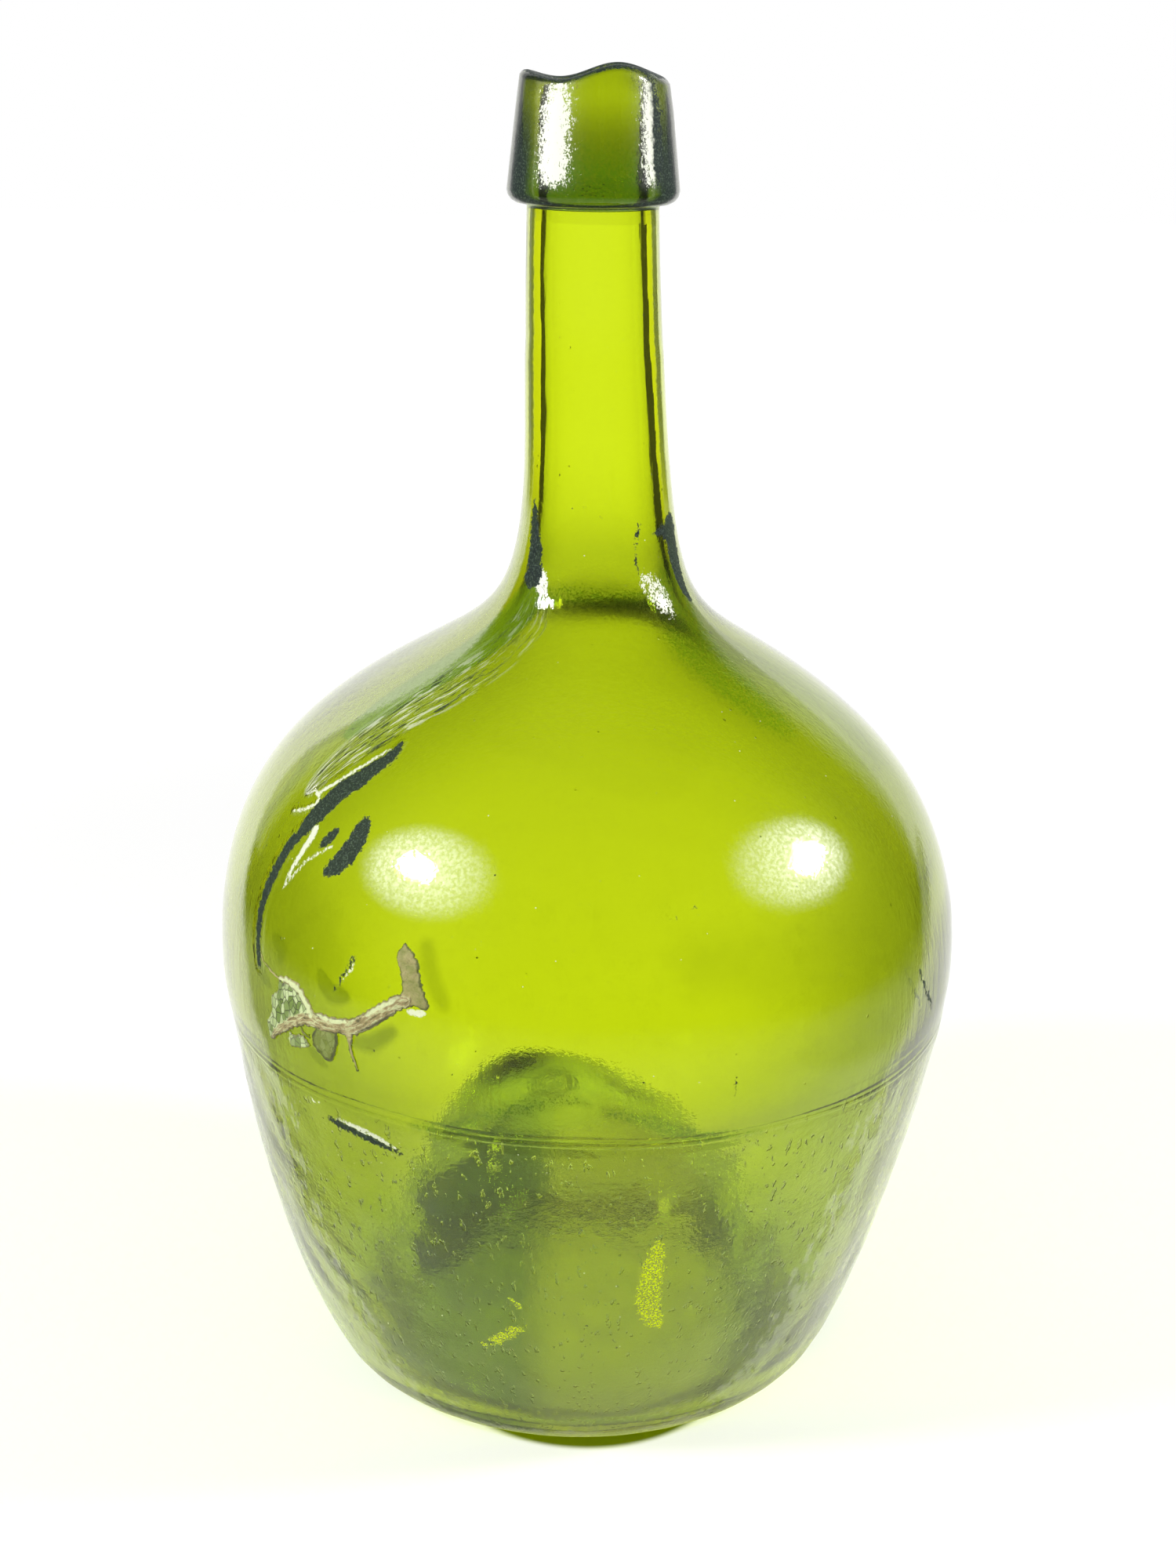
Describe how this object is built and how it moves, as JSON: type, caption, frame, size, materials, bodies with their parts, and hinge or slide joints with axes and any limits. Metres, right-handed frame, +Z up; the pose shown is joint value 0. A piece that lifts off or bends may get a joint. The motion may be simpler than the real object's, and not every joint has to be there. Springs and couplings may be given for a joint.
{
  "type": "demijohn",
  "caption": "Hand-blown green glass demijohn with a domed shoulder, long neck, applied collar and a deep push-up underneath.",
  "frame": {"origin": "centre of the table plane under the widest ring, on the resting ring's plane", "axes": "+Z up along the bottle towards the mouth, -Y the side that the picture shows, +X to its right"},
  "size_m": [0.218, 0.218, 0.38],
  "materials": {
    "green_glass": "clear bottle green, smooth above the seam and hammered below it",
    "collar_glass": "clear bottle green, tooled, with a fine grainy skin",
    "stony_crust": "opaque, stony, grey-beige and rough"
  },
  "bodies": {
    "root": {"blown_body": "green_glass", "applied_collar": "collar_glass", "fold_crust": "stony_crust"}
  },
  "joints": []
}
